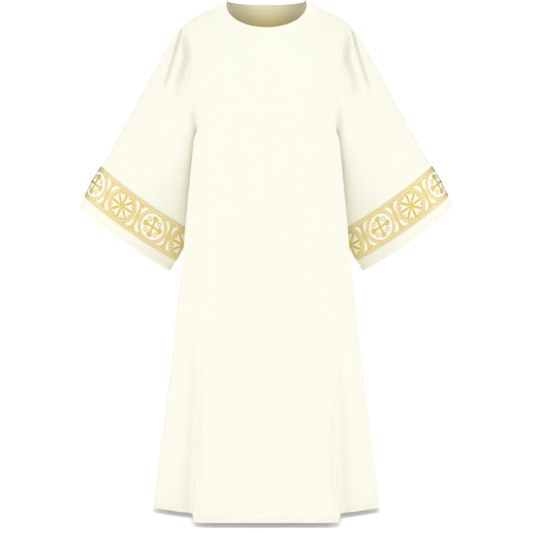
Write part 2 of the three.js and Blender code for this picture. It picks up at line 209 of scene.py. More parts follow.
def top_edge(side, c):
    """Half of the neckline, then the shoulder seam."""
    neck = NECK[side]
    a = np.clip(c / NECK_END, 0, 1) * math.pi / 2
    share = through(STOPS["at"][1:], STOPS["shoulder"][1:], np.maximum(c, NECK_END))
    share = np.where(c > NECK_END, share, 0)
    cos = np.clip(np.cos(a), 0, 1)
    x = np.where(c <= NECK_END, NECK_HALF * np.sin(a), mix(NECK_HALF, SHOULDER_TIP["x"], share))
    y = np.where(c <= NECK_END, neck["y"] * cos, 0)
    # The factor brings the highest point of the bow to 1.
    bow = SHOULDER_BOW * 9.5 * share**3 * (1 - share)
    z = np.where(c <= NECK_END, neck["z"] * cos ** neck["round"], SHOULDER_TIP["z"] * share + bow)
    near = 1 - ease(np.where(c <= NECK_END, cos, share) / NECK_ROLL["reach"])
    return x, y, z, near


def panel_half(side, c, rise):
    """Points of half a panel, a row for each rise and a column for each c.
    rise is 0 at the hem, 1 at the underarm, 2 at the chest, 3 at the top."""
    low = rise[rise <= 2]
    scye_y, scye_z = scye(side, np.clip(low - 1, 0, 1))
    z = np.where(low <= 1, mix(HEM_Z, UNDERARM_Z, low), scye_z)
    seam_y = np.where(low <= 1, 0, scye_y)
    x, y = section(side, z, seam_y, c)
    below = np.stack([x, y, np.repeat(z[:, None], len(c), 1)], 2)

    t = (rise[rise > 2] - 2)[:, None]
    chest_x, chest_y = section(side, np.array([CHEST_Z]), np.array([ARMHOLE_Y[side]]), c)
    top_x, top_y, top_z, near = top_edge(side, c)
    roundness = mix(NECK_ROUND, SHOULDER_ROUND, ease(c / NECK_END))
    up = mix(t, np.sin(t * math.pi / 2), roundness)
    over = mix(t, 1 - np.cos(t * math.pi / 2), roundness)
    above = np.stack([
        mix(chest_x, top_x, t), mix(chest_y, top_y, over), mix(CHEST_Z, top_z, up),
    ], 2)
    # The cloth rolls up and in where the shoulder seam meets the neckline.
    rolled = near * ease((t - NECK_ROLL["from"]) / (1 - NECK_ROLL["from"]))
    above[..., 0] += NECK_ROLL["x"] * rolled
    above[..., 2] += NECK_ROLL["z"] * rolled
    return np.concatenate([below, above])


# %% [markdown]
# ## The sleeve's shape
#
# A sleeve is a tube of egg-shaped sections, fuller along the arm than below it.
# The first section is the armhole itself, with exactly the points of the front
# and back panels there, and its shape fades out along the first part of the
# sleeve. Lofting curves in Blender would also do this, but then the armhole
# seam would not close exactly.

# %% Tables for the sleeve
OVER_RUN = table("at x z", [
    [0, 485, -531], [74, 453, -464], [148, 413, -401], [220, 377, -338],
    [291, 343, -276], [362, 309, -214], [432, 275, -152], [480, 250, -110],
    [526, 226, -71], [538, SHOULDER_TIP["x"], SHOULDER_TIP["z"]],
])
UNDER_RUN = table("at x z", [
    [0, 251, -698], [71, 215, -636], [124, 199, -585], [208, 187, -502],
    [272, 181, -439], [296, 178, -415], [318, 174, -394], [336, 170, UNDERARM_Z],
])
SLEEVE = table("top under half egg", [
    [0, 0, 46, 0.18], [14, 14, 47, 0.18], [30, 30, 48, 0.18], [52, 52, 49, 0.15],
    [74, 74, 51, 0.12], [96, 96, 53, 0.08], [118, 118, 55, 0.04],
    [160, 140, 60, -0.06], [205, 162, 66, -0.15], [258, 188, 74, -0.22],
    [315, 217, 81, -0.28], [370, 246, 86, -0.31], [420, 272, 89, -0.31],
    [465, 296, 91, -0.28], [505, 318, 92, -0.18], [538, 336, 92, 0],
])
BAND = (30, 118)  # where the galloon lies, from the cuff
SCYE_REACH = 0.4  # the share of the sleeve where the armhole's shape fades out
HANDWARD = (0.57, -0.82)
CUFF_BOW = 6  # how far the middle of the cuff bows towards the hand
UNDERARM_BLUNT = {"by": 0.28, "from": 0.4, "run": 0.5}

print("overarm", OVER_RUN["at"][-1], "mm and underarm", UNDER_RUN["at"][-1], "mm long")


# %% Points of a sleeve
def egg(top, angle):
    """Egg-shaped sections; top is each one's distance from the cuff along the
    overarm, and angle runs from there round the front and back again."""
    under = through(SLEEVE["top"], SLEEVE["under"], top)
    half, fuller = (through(SLEEVE["top"], SLEEVE[k], top)[:, None] for k in ("half", "egg"))
    over_x, over_z = (through(OVER_RUN["at"], OVER_RUN[k], top)[:, None] for k in "xz")
    under_x, under_z = (through(UNDER_RUN["at"], UNDER_RUN[k], under)[:, None] for k in "xz")
    q = (1 - np.cos(angle)) / 2
    bow = (CUFF_BOW * (1 - top / SLEEVE["top"][-1]))[:, None] * np.sin(angle) ** 2
    # The tube stays deep till near the underarm, then turns sharply.
    low = rising(q, UNDERARM_BLUNT["from"], UNDERARM_BLUNT["run"])
    blunt = 1 - UNDERARM_BLUNT["by"] * low
    round_it = np.sign(np.sin(angle)) * np.abs(np.sin(angle)) ** blunt
    depth = half * round_it * (1 + fuller * np.cos(angle))
    x = mix(over_x, under_x, q) + bow * HANDWARD[0]
    z = mix(over_z, under_z, q) + bow * HANDWARD[1]
    return np.stack([x, -depth, z], 2)


def loop_angles(loop):
    """The angle at which each point of the armhole goes on down the sleeve."""
    x0, z0 = OVER_RUN["x"][-1], OVER_RUN["z"][-1]
    dx, dz = UNDER_RUN["x"][-1] - x0, UNDER_RUN["z"][-1] - z0
    q = ((loop[:, 0] - x0) * dx + (loop[:, 2] - z0) * dz) / (dx * dx + dz * dz)
    return np.arccos(1 - 2 * np.clip(q, 0, 1)) * np.where(loop[:, 1] > 0, -1, 1)


def sleeve_points(loop, top):
    """The sleeve's rows, one for each distance from the cuff, armhole first."""
    angle = loop_angles(loop)
    share = 1 - top / SLEEVE["top"][-1]
    fade = (1 - ease(share / SCYE_REACH))[:, None, None]
    start = egg(SLEEVE["top"][-1:], angle)
    return egg(top, angle) + (loop[None] - start) * fade


# %% [markdown]
# ## Creases
#
# The sections already hold the large folds. Finer ones are pressed in one by one:
# each crease is a path with a depth and two widths, one on the side towards the
# body's middle and one on the outer side, and cloth near it moves in. One
# function does this for panels and sleeves alike, so a crease can run across the
# armhole seam without opening it. A cloth simulation would give folds of its own
# instead of these. A faint unevenness is added everywhere, since no cloth hangs
# perfectly smooth.

# %% Tables of creases
CREASE = "x z deep inner outer"
CREASES = {
    "front": {
        "from the shoulder": table(CREASE, [
            [212, -70, 4, 5, 8], [206, -104, 20, 6, 10], [199, -148, 27, 6, 12],
            [204, -182, 26, 8, 15], [212, -216, 21, 11, 17], [217, -272, 0, 15, 22],
        ]),
        "down the sleeve": table(CREASE, [
            [216, -66, 6, 4, 5], [225, -104, 16, 4, 5], [239, -157, 13, 4, 5],
            [253, -207, 11, 4, 6], [263, -245, 0, 5, 9],
        ]),
        "beside the armhole": table(CREASE, [
            [166, -290, 0, 12, 12], [163, -350, 2.5, 14, 12], [156, -420, 0, 16, 14],
        ]),
        "into the armpit": table(CREASE, [
            [181, -252, 0, 4, 7], [180, -286, 6, 4, 8], [179, -312, 8, 4, 9],
            [178, -340, 0, 4, 10],
        ]),
        "along the skirt's fold": table(CREASE, [
            [160, -820, 0, 3, 4], [163, -900, 2, 3, 4], [164, -1011, 4, 3, 4],
            [166, -1187, 4, 3, 4], [175, -1325, 3, 3, 4],
        ]),
        "beside the skirt's fold": table(CREASE, [
            [173, -860, 0, 9, 12], [180, -1010, 8, 9, 14], [186, -1160, 14, 10, 17],
            [193, -1290, 17, 11, 20], [195, -1325, 14, 11, 20],
        ]),
    },
    "back": {
        "from the shoulder": table(CREASE, [
            [214, -74, 0, 8, 12], [203, -130, 10, 14, 18], [201, -190, 9, 16, 20],
            [208, -250, 0, 20, 22],
        ]),
        "shoulder blade": table(CREASE, [
            [148, -150, 0, 20, 20], [160, -240, 5, 26, 26], [156, -360, 4, 28, 28],
            [150, -470, 0, 24, 24],
        ]),
    },
}
UNEVEN_MM = 0.7
CALM_MM = 18  # creases fade out this close to the side seams

print("creases at the front:", len(CREASES["front"]), "and at the back:", len(CREASES["back"]))


# %% Press the creases in
def crease_depth(path, x, z):
    """How deep one crease is at x and z."""
    rows = np.arange(len(path["x"]))
    # Four short straight steps stand for each bend between two rows.
    finer = np.linspace(0, rows[-1], 4 * rows[-1] + 1)
    path = {key: through(rows, column, finer) for key, column in path.items()}
    best = np.zeros(x.shape)
    for i in range(len(path["x"]) - 1):
        x0, z0, x1, z1 = path["x"][i], path["z"][i], path["x"][i + 1], path["z"][i + 1]
        dx, dz = x1 - x0, z1 - z0
        t = np.clip(((x - x0) * dx + (z - z0) * dz) / (dx * dx + dz * dz), 0, 1)
        off_x, off_z = x - x0 - t * dx, z - z0 - t * dz
        inner, outer, deep = (
            mix(path[key][i], path[key][i + 1], t) for key in ("inner", "outer", "deep")
        )
        width = np.where(off_x < 0, inner, outer)
        best = np.maximum(best, deep * np.exp(-(off_x**2 + off_z**2) / width**2))
    return best


def pressed(points):
    """The same points with the creases pressed in towards y = 0."""
    x, y, z = np.abs(points[..., 0]), points[..., 1], points[..., 2]
    moved = points.copy()
    # Long crossing waves, so faint that they only break up an even light.
    waves = np.sin(x / 41 + z / 300 + 1.3) * np.sin(z / 167 + x / 190)
    waves += 0.5 * np.sin(x / 23 - z / 210) * np.sin(z / 97 + 2)
    for side, sign in (("front", -1), ("back", 1)):
        depth = UNEVEN_MM * waves
        for path in CREASES[side].values():
            depth = depth + crease_depth(path, x, z)
        moved[..., 1] -= sign * depth * ease(sign * y / CALM_MM)
    return moved


# %% [markdown]
# ## Body and sleeves meet
#
# The armhole is a seam, but high on the chest the cloth runs over it without a
# break, and only lower down does the sleeve tuck in behind the body. So the
# points of a panel and of its sleeve are joined into one long row across the
# seam, each row is smoothed as a bar of butter would melt, and they are parted
# again. Smoothing the finished meshes with a modifier would pull the seam open.

# %% Smooth across the armhole
SMOOTH_MM = 16  # how far the cloth's shape spreads in one melting
SMOOTH_TIMES = 3
# Where the smoothing fades out to each side, where it sets in on the way up,
# and where on the way down from the top. Each pair is a start and a run.
NECK_SMOOTH = {"aside": (16, 30), "up": (-330, 80), "down": (8, 50)}
ARM_SMOOTH = {"aside": (36, 44), "up": (-362, 90), "down": (64, 40)}
ARM_LEAST = 0.2  # the share that is left at the shoulder seam
BODY_COLUMNS = 44  # how much of the body and of the sleeve a joined row takes
SLEEVE_ROWS = 40


def row_lengths(row):
    """How far along a row each of its points is."""
    return np.concatenate([[0], np.cumsum(np.linalg.norm(np.diff(row, axis=0), axis=1))])


def melted(row, strength):
    """One row of points, smoothed where strength is more than 0."""
    gap = np.linalg.norm(np.diff(row, axis=0), axis=1)
    weight = np.zeros(len(row))
    weight[:-1] += gap / 2
    weight[1:] += gap / 2
    flow = SMOOTH_MM**2 * (strength[:-1] + strength[1:]) / 2 / gap
    system = np.diag(weight)
    for i, k in enumerate(flow):
        system[i, i] += k
        system[i + 1, i + 1] += k
        system[i, i + 1] -= k
        system[i + 1, i] -= k
    for _ in range(SMOOTH_TIMES):
        row = np.linalg.solve(system, weight[:, None] * row)
    return row


def below_neck(half, point):
    """Smooths the ridge that would run down from the neck's end, in place.
    point is that end's column."""
    for r, row in enumerate(half):
        along = row_lengths(row)
        height = row[point, 2]
        fade = 1 - rising(np.abs(along - along[point]), *NECK_SMOOTH["aside"])
        strength = rising(height, *NECK_SMOOTH["up"]) * rising(-height, *NECK_SMOOTH["down"])
        if strength > 0:
            half[r] = melted(row, strength * fade)


def joined(half, sleeve, side, arm_rows):
    """Smooths one half panel and its sleeve across their seam, in place."""
    first = len(half) - arm_rows
    seam = BODY_COLUMNS - 1
    for r in range(1, arm_rows):
        k = arm_rows - 1 - r if side == "front" else (arm_rows - 1 + r) % sleeve.shape[1]
        row = np.concatenate([half[first + r, -BODY_COLUMNS:], sleeve[1:SLEEVE_ROWS, k]])
        along = row_lengths(row)
        height = row[seam, 2]
        fade = 1 - rising(np.abs(along - along[seam]), *ARM_SMOOTH["aside"])
        strength = rising(height, *ARM_SMOOTH["up"])
        strength *= mix(ARM_LEAST, 1, rising(-height, *ARM_SMOOTH["down"]))
        row = melted(row, strength * fade)
        half[first + r, -BODY_COLUMNS:] = row[:BODY_COLUMNS]
        sleeve[1:SLEEVE_ROWS, k] = row[BODY_COLUMNS:]
        sleeve[0, k] = row[seam]


# %% [markdown]
# ## From points to a cloth mesh
#
# A mesh is filled straight from the arrays, which is far quicker than adding
# faces one by one. Its UV map holds true distances along and across the cloth,
# in metres, so that the weave has one size everywhere. A Solidify modifier
# gives the cloth its thickness, inwards, with its wrong side as a second
# material.


# %% Measure a grid of points
def distances(points, axis):
    """How far along the cloth each point is, from the first one on that axis."""
    step = np.linalg.norm(np.diff(points, axis=axis), axis=2)
    shape = list(points.shape[:2])
    shape[axis] = 1
    return np.concatenate([np.zeros(shape), np.cumsum(step, axis=axis)], axis)


def around(grid):
    """The grid with its first column again at the end, to close a tube."""
    return np.concatenate([grid, grid[:, :1]], 1)


def area(points, closed=False):
    """The area of a grid of points, in square metres."""
    points = around(points) if closed else points
    a, b = points[1:, 1:] - points[:-1, :-1], points[1:, :-1] - points[:-1, 1:]
    return np.linalg.norm(np.cross(a, b), axis=2).sum() / 2e6


def outward(points, closed=False):
    """Unit normals of a grid, on the side that its faces show."""
    down = np.gradient(points, axis=0)
    if closed:
        sideways = np.roll(points, -1, 1) - np.roll(points, 1, 1)
    else:
        sideways = np.gradient(points, axis=1)
    n = np.cross(sideways, down)
    return n / np.maximum(np.linalg.norm(n, axis=2, keepdims=True), 1e-9)


def mirrored(*grids):
    """Grids of a tube turned round, for the mirror image of its points."""
    return [np.concatenate([g[:, :1], g[:, :0:-1]], 1) for g in grids]


# %% Make a piece of cloth
def grid_object(name, points, uv, values=None, closed=False):
    """A mesh object from a grid of points and one of distances, in millimetres.
    values are further numbers for each point, by name."""
    points = around(points) if closed else points
    rows, count = points.shape[:2]
    a = np.arange(rows * count).reshape(rows, count)
    quads = np.stack([a[:-1, :-1], a[:-1, 1:], a[1:, 1:], a[1:, :-1]], 2).reshape(-1, 4)
    corner_uv = uv.reshape(-1, 2)[quads.reshape(-1)] / 1000
    if closed:
        quads = np.where(quads % count == count - 1, quads - (count - 1), quads)
    used, quads = np.unique(quads, return_inverse=True)
    quads = quads.reshape(-1, 4)
    mesh = bpy.data.meshes.new(name)
    mesh.vertices.add(len(used))
    mesh.vertices.foreach_set("co", (points.reshape(-1, 3)[used] / 1000).ravel())
    mesh.loops.add(quads.size)
    mesh.loops.foreach_set("vertex_index", quads.ravel().astype(np.int32))
    mesh.polygons.add(len(quads))
    mesh.polygons.foreach_set("loop_start", np.arange(0, quads.size, 4, dtype=np.int32))
    mesh.polygons.foreach_set("loop_total", np.full(len(quads), 4, np.int32))
    mesh.update(calc_edges=True)
    mesh.uv_layers.new(name="cloth").data.foreach_set("uv", corner_uv.ravel())
    for key, numbers in (values or {}).items():
        numbers = around(numbers) if closed else numbers
        layer = mesh.attributes.new(key, "FLOAT", "POINT")
        layer.data.foreach_set("value", numbers.ravel()[used].astype(np.float32))
    mesh.polygons.foreach_set("use_smooth", np.ones(len(quads), bool))
    mesh.validate()
    obj = bpy.data.objects.new(name, mesh)
    bpy.context.scene.collection.objects.link(obj)
    return obj


def thicken(obj, millimetres, outside, inside):
    """Gives a sheet its thickness, inwards, and a material on each side."""
    obj.data.materials.append(outside)
    obj.data.materials.append(inside)
    solid = obj.modifiers.new("thickness", "SOLIDIFY")
    solid.thickness = millimetres / 1000
    solid.offset = -1
    solid.material_offset = 1
    solid.use_even_offset = True


# %% [markdown]
# ## Colours and a helper for nodes
#
# Colours are written as sRGB hex, as a paint chart gives them, and turned to the
# linear values that Blender works in. One helper adds a node of any kind.


# %% Colour and node helpers
def linear(hex_colour):
    """An sRGB hex colour as linear RGBA."""
    parts = [int(hex_colour[i : i + 2], 16) / 255 for i in (1, 3, 5)]
    return [p / 12.92 if p <= 0.04045 else ((p + 0.055) / 1.055) ** 2.4 for p in parts] + [1]


def add(tree, kind, inputs, **settings):
    """Adds a node. inputs gives each socket a value or another node's socket."""
    made = tree.nodes.new(kind)
    for name, value in settings.items():
        setattr(made, name, value)
    for name, value in inputs.items():
        if isinstance(value, bpy.types.NodeSocket):
            tree.links.new(value, made.inputs[name])
        else:
            made.inputs[name].default_value = value
    return made


def new_material(name):
    """A node material, its tree and its Principled shader."""
    made = bpy.data.materials.new(name)
    made.use_nodes = True
    return made, made.node_tree, made.node_tree.nodes["Principled BSDF"]


# %% [markdown]
# ## Ivory cloth
#
# Vestment cloth of this kind is a plain weave of fine wool and polyester, dull
# and a little hairy. The threads are about 0.4 mm apart, far too fine to see
# from a step away, so they are drawn at 1.2 mm, and a faint slub, a thicker
# thread now and then, is what the eye catches. The wrong side is the same cloth
# in a deeper cream, with painted shade in its colour: darker and more olive
# further down inside, for the dim light that reaches it only through cloth.
# Along each hem runs a line of stitches.

# %% Weave and stitches
THREAD_MM = 1.2  # three times the real thread
SLUB_MM = (70, 3.0)  # how long and how thick a slub is
STITCH_MM = 3.2
STITCH_LINE_MM = 10.5  # from the hem's edge


def weave_height(tree, thread_mm):
    """The height of a plain weave, and the sockets with the distances."""
    uv = add(tree, "ShaderNodeUVMap", {}, uv_map="cloth").outputs["UV"]
    along = add(tree, "ShaderNodeSeparateXYZ", {"Vector": uv}).outputs
    waves = []
    for axis in "XY":
        turn = add(tree, "ShaderNodeMath", {0: along[axis], 1: math.pi * 1000 / thread_mm},
                   operation="MULTIPLY").outputs[0]
        waves.append(add(tree, "ShaderNodeMath", {0: turn}, operation="SINE").outputs[0])
    crossing = add(tree, "ShaderNodeMath", {0: waves[0], 1: waves[1]},
                   operation="MULTIPLY").outputs[0]
    return crossing, uv, along


def stitch_line(tree, along):
    """1 on the thread of a stitch line beside a hem, 0 off it."""
    edge = add(tree, "ShaderNodeAttribute", {}, attribute_name="from_edge").outputs["Fac"]
    off = add(tree, "ShaderNodeMath", {0: edge, 1: STITCH_LINE_MM},
              operation="SUBTRACT").outputs[0]
    off = add(tree, "ShaderNodeMath", {0: off}, operation="ABSOLUTE").outputs[0]
    line = add(tree, "ShaderNodeMapRange", {
        "Value": off, "From Min": 0.35, "From Max": 0.7, "To Min": 1.0, "To Max": 0.0,
    }).outputs["Result"]
    dash = add(tree, "ShaderNodeMath", {0: along["X"], 1: 2 * math.pi * 1000 / STITCH_MM},
               operation="MULTIPLY").outputs[0]
    dash = add(tree, "ShaderNodeMath", {0: dash}, operation="SINE").outputs[0]
    dash = add(tree, "ShaderNodeMapRange", {"Value": dash, "From Min": -0.7, "From Max": -0.3})
    return add(tree, "ShaderNodeMath", {0: line, 1: dash.outputs["Result"]},
               operation="MULTIPLY").outputs[0]


# %% Plain weave
STITCHES = "#E3DDC2"
# Painted shade on the wrong side runs between these two heights.
PAINTED_SHADE_FROM = -0.004  # the height in metres where the painted shade sets in
PAINTED_SHADE_TO = -0.075


def plain_weave(name, colour, shade, painted_shade=None):
    """The cloth's material. The last colour, if given, is painted shade: the colour far down
    inside, where the light is dim.
    """
    made, tree, shader = new_material(name)
    crossing, uv, along = weave_height(tree, THREAD_MM)
    # Slubs: noise drawn out along the weft.
    stretched = add(tree, "ShaderNodeMapping", {
        "Vector": uv, "Scale": (1000 / SLUB_MM[0], 1000 / SLUB_MM[1], 1),
    }).outputs["Vector"]
    slub = add(tree, "ShaderNodeTexNoise", {
        "Vector": stretched, "Scale": 1.0, "Detail": 2.0, "Roughness": 0.5,
    }).outputs["Fac"]
    tone = add(tree, "ShaderNodeMapRange", {"Value": slub, "From Min": 0.35, "From Max": 0.7})
    base = add(tree, "ShaderNodeMix", {
        "Factor": tone.outputs["Result"], "A": linear(shade), "B": linear(colour),
    }, data_type="RGBA").outputs["Result"]
    # Painted shade: the colour darkens towards the bottom inside, for the dim light there.
    if painted_shade:
        place = add(tree, "ShaderNodeTexCoord", {}).outputs["Object"]
        height = add(tree, "ShaderNodeSeparateXYZ", {"Vector": place}).outputs["Z"]
        down = add(tree, "ShaderNodeMapRange", {
            "Value": height, "From Min": PAINTED_SHADE_FROM, "From Max": PAINTED_SHADE_TO,
        }).outputs["Result"]
        base = add(tree, "ShaderNodeMix", {"Factor": down, "A": base, "B": linear(painted_shade)},
                   data_type="RGBA").outputs["Result"]
    stitch = stitch_line(tree, along)
    base = add(tree, "ShaderNodeMix", {"Factor": stitch, "A": base, "B": linear(STITCHES)},
               data_type="RGBA").outputs["Result"]
    tree.links.new(base, shader.inputs["Base Color"])
    # One relief: the crossing threads, the slubs and the stitches, which sink in.
    relief = add(tree, "ShaderNodeMath", {0: slub, 1: 0.25, 2: crossing},
                 operation="MULTIPLY_ADD").outputs[0]
    relief = add(tree, "ShaderNodeMath", {0: stitch, 1: -2.0, 2: relief},
                 operation="MULTIPLY_ADD").outputs[0]
    bump = add(tree, "ShaderNodeBump", {"Height": relief, "Strength": 0.15, "Distance": 0.0002})
    tree.links.new(bump.outputs["Normal"], shader.inputs["Normal"])
    shader.inputs["Roughness"].default_value = 0.9
    shader.inputs["IOR"].default_value = 1.45
    shader.inputs["Specular IOR Level"].default_value = 0.2
    shader.inputs["Sheen Weight"].default_value = 0.12
    shader.inputs["Sheen Roughness"].default_value = 0.5
    return made


right_side = plain_weave("ivory plain weave", "#EAE8D9", "#E9E6D5")
# The wrong side's last colour is painted shade, for the dim light deep inside.
wrong_side = plain_weave("ivory wrong side", "#F0E8D2", "#EBE2C8", "#C8B457")
print("materials:", right_side.name, "and", wrong_side.name)

# %% [markdown]
# ## Front and back panels, and the sleeves
#
# Each panel is one grid from the hem to the neck and shoulders, and a sleeve is
# a grid from the armhole to the cuff that shares the armhole's points. Columns
# and rows are closer together at folds and edges. The last centimetre of each
# hem is turned under and stands up by the thickness of the cloth, and the seams
# draw the cloth in a little.

# %% Cut the pieces
FINE = 1.0


def steps(*numbers):
    return [max(2, round(n * FINE)) for n in numbers]


def spread_over(stops, counts):
    """Rising values with a number of even steps between each pair of stops."""
    parts = [np.linspace(a, b, n, endpoint=False) for a, b, n in zip(stops, stops[1:], counts)]
    return np.concatenate([*parts, stops[-1:]])


# Columns run from the centre to the seam, rows from the hem to the neck.
across = spread_over([0, 0.36, 0.44, 0.48, 0.57, 0.7, 0.85, 0.98, 1],
                     steps(14, 14, 5, 9, 12, 12, 12, 4))
ARM_RISES = spread_over([1.0, 2, 2.94, 3], steps(28, 84, 8))
rises = np.concatenate([spread_over([0.0, 0.02, 1], steps(12, 104))[:-1], ARM_RISES])
halves = {side: panel_half(side, across, rises) for side in BODY}


def armhole_of(edges):
    """The armhole's loop, down the front from the shoulder and up the back."""
    return np.concatenate([edges["front"][::-1], edges["back"][1:-1]])


loop = armhole_of({side: halves[side][-len(ARM_RISES):, -1] for side in halves})
seam_at = SLEEVE["top"][-1]
up_sleeve = spread_over(SLEEVE["top"][[0, 1, 6, 10, 15]], steps(10, 18, 30, 80))
# Its last two rows are 2 mm apart, so that the seam stays crisp.
up_sleeve = np.concatenate([up_sleeve[up_sleeve < seam_at - 4], [seam_at - 2, seam_at]])
sleeve_left = sleeve_points(loop, up_sleeve[::-1])
for side in halves:
    below_neck(halves[side], np.searchsorted(across, NECK_END))
    joined(halves[side], sleeve_left, side, len(ARM_RISES))
print("half panels", halves["front"].shape[:2], "and sleeve", sleeve_left.shape[:2], "points")


# %% Finish the edges
CLOTH_MM = 1.2
HEM_TURN_MM = 10.0
HEM_STEP_MM = 0.5
HEM_BLUR_MM = 1.5
SEAM_PINCH_MM = 0.5
SEAM_WIDE_MM = 4.0
SCYE_FLAT = (-300, 30)  # the height where the armhole seam gets flat, and a run
NECK_TURN_MM = 0.9
NECK_TURN_WIDE_MM = 5


def hem_lift(from_edge):
    """The turned hem's step, in millimetres."""
    return HEM_STEP_MM * (1 - ease((from_edge - HEM_TURN_MM) / HEM_BLUR_MM + 0.5))


def pinch(distance, points=None):
    """How far a seam draws the cloth in at a distance from it. An armhole seam
    is pressed flat above the chest."""
    drawn = SEAM_PINCH_MM * (1 - ease(distance / SEAM_WIDE_MM))
    return drawn if points is None else drawn * (1 - rising(points[..., 2], *SCYE_FLAT))


panels = {}
for side, half in halves.items():
    points = np.concatenate([half[:, :0:-1] * [-1, 1, 1], half], 1)
    if side == "back":
        points = points[:, ::-1]
    points = pressed(points)
    middle = (points.shape[1] - 1) // 2
    u, v = distances(points, 1), distances(points, 0)
    to_top = v[-1:] - v
    to_side = np.minimum(u, u[:, -1:] - u)
    at_neck = np.concatenate([across[:0:-1], across]) <= NECK_END + 1e-6
    turned_in = NECK_TURN_MM * (1 - ease(to_top / NECK_TURN_WIDE_MM))
    move = hem_lift(v) - pinch(to_side, points) - np.where(at_neck, turned_in, pinch(to_top))
    points = points + outward(points) * move[..., None]
    uv = np.stack([u - u[:, middle : middle + 1], v], 2)
    panel = grid_object(side + "_cloth", points, uv, {"from_edge": v})
    thicken(panel, CLOTH_MM, right_side, wrong_side)
    panels[side] = (panel, points, at_neck)
    print(side, "panel:", points.shape[:2], "points,", round(area(points), 3), "m2,",
          "hem", round(u[0, -1]), "mm, centre", round(v[-1, middle]), "mm")

# %% Sew in the sleeves
smooth_sleeve = pressed(sleeve_left)
u = distances(around(smooth_sleeve), 1)
v = distances(smooth_sleeve, 0)
from_cuff = v[-1:] - v
move = hem_lift(from_cuff) - pinch(v, smooth_sleeve)
left_points = smooth_sleeve + outward(smooth_sleeve, True) * move[..., None]
sleeves = {}
for hand, flip in (("left", 1), ("right", -1)):
    points, edge = left_points * [flip, 1, 1], from_cuff
    if flip < 0:
        points, edge = mirrored(points, edge)
    uv = np.stack([u, around(edge)], 2)
    sleeve = grid_object("sleeve_" + hand + "_cloth", points, uv, {"from_edge": edge}, closed=True)
    thicken(sleeve, CLOTH_MM, right_side, wrong_side)
    sleeves[hand] = sleeve
print("sleeve:", left_points.shape[:2], "points,", round(area(left_points, True), 3), "m2, cuff",
      round(u[-1, -1]), "mm round, underarm", round(v[-1, len(ARM_RISES) - 1]), "mm")

# %% [markdown]
# ## The galloon
#
# A galloon is a woven band with a repeating pattern. This is the common kind
# with roundels: an eight-petalled rosette and an equal-armed cross take turns
# along it, each in a ring, with a stem between them. It is woven in gold thread
# on white, and the gold stands a little proud. A texture could draw it flat, but
# here the band has a fine grid of its own, less than a millimetre a step, and
# the pattern is worked out at each point, so that the gold can be raised and
# coloured by one number. Lengths in the pattern are millimetres too.

# %% The galloon's pattern
ROUNDEL_MM = 95.5  # from one roundel to the next
BAND_HALF = 44.0
RING_OUT = 41.5
RING_IN = 33.0
TICKS = 38  # in each ring
TICKS_AT = 37.4
DISC = 32.5  # the white ground of a cross
ARM_LONG = 27.5
CORNER = 14.6  # how far out and up a corner's small ring lies
DOT = 1.9
DOT_PITCH = 6.4
DOT_ROWS = (2.8, 7.2)
BINDING_MM = 4.6


def soft_step(distance, blur=0.7):
    """1 where a distance in millimetres is positive, blurred over a thread."""
    return ease(distance / blur + 0.5)


def gold_thread(u, v):
    """The share of gold at u along and v across the band, from its middle."""
    cell = np.round(u / ROUNDEL_MM)
    x, y = u - cell * ROUNDEL_MM, v
    r, turn = np.hypot(x, y), np.arctan2(y, x)

    def from_spoke(count, start=0.0):
        step = 2 * math.pi / count
        return r * np.sin(np.abs((turn - start + step / 2) % step - step / 2))

    # Rosette: eight gold spokes on white, forked by wedges from the ring.
    spoke = 2.2 + 1.3 * ease((r - 5) / 12)
    rosette = np.maximum.reduce([
        soft_step(spoke - from_spoke(8)) * soft_step(30 - r),
        0.8 * soft_step((r - 23) * 0.5 - from_spoke(8, math.pi / 8)),
        soft_step(1.6 - np.abs(r - 3.4)),
        0.75 * soft_step((r - 26.5) * 1.1 - from_spoke(8)),
        0.75 * soft_step(r - 29.5),
    ]) * soft_step(r - 1.7)
    # Cross: four arms that flare, and a small ring in each corner.
    flare = 2.9 + 5.2 * ease((r - 11) / 12) - 6 * ease((r - 24) / 5)
    small = np.hypot(np.abs(x) - CORNER, np.abs(y) - CORNER)
    cross = np.maximum.reduce([
        0.95 * soft_step(flare - from_spoke(4)) * soft_step(ARM_LONG - r),
        0.85 * soft_step(1.7 - np.abs(small - 4.4)),
        soft_step(5.5 - np.abs(x) - np.abs(y)),
        soft_step(r - DISC),
    ])
    inside = np.where(cell % 2 == 0, cross, rosette)
    # Ticks and dots are drawn coarser than they are woven, so that they show.
    ticks = ease(0.5 + 0.8 * np.cos(turn * TICKS))
    ring = 0.97 - 0.68 * ticks * soft_step(2.6 - np.abs(r - TICKS_AT))
    # White slivers beside each ring leave a stem with flared ends.
    from_stem = ROUNDEL_MM / 2 - np.abs(x)
    wide = 0.8 + 7.4 * ease((np.abs(y) - 3) / 24)
    sliver = soft_step(RING_OUT + wide - r) * soft_step(from_stem - 2.0)
    between = 0.85 * (1 - sliver * soft_step(33 - np.abs(y)))
    # The border: two rows of small dots, each set between those of the other.
    edge = BAND_HALF - np.abs(y)
    half_pitch = DOT_PITCH / 2
    outer = np.hypot(u % DOT_PITCH - half_pitch, edge - DOT_ROWS[0])
    inner = np.hypot((u + half_pitch) % DOT_PITCH - half_pitch, edge - DOT_ROWS[1])
    border = 0.97 - 0.7 * soft_step(DOT - np.minimum(outer, inner))
    gold = np.where(r < RING_OUT, np.where(r < RING_IN, inside, ring), between)
    gold = np.where((edge < 10) & (r > RING_OUT) | (edge < 5), border, gold)
    # Binding points, where a white warp thread ties the gold down.
    bound = np.cos(2 * math.pi * u / BINDING_MM) * np.cos(2 * math.pi * v / BINDING_MM)
    return gold * (1 - 0.3 * ease(bound)) + 0.3 * (1 - gold) * ease(-bound)


# %% The galloon's threads
GOLD_THREAD_MM = 0.9  # twice as coarse as the real thread
PATCHES_A_METRE = 420.0  # a patch of one tone is then 2 or 3 mm wide
GOLD = ("#C8A934", "#E2CA55")
WHITE_THREAD = "#EFEEE8"


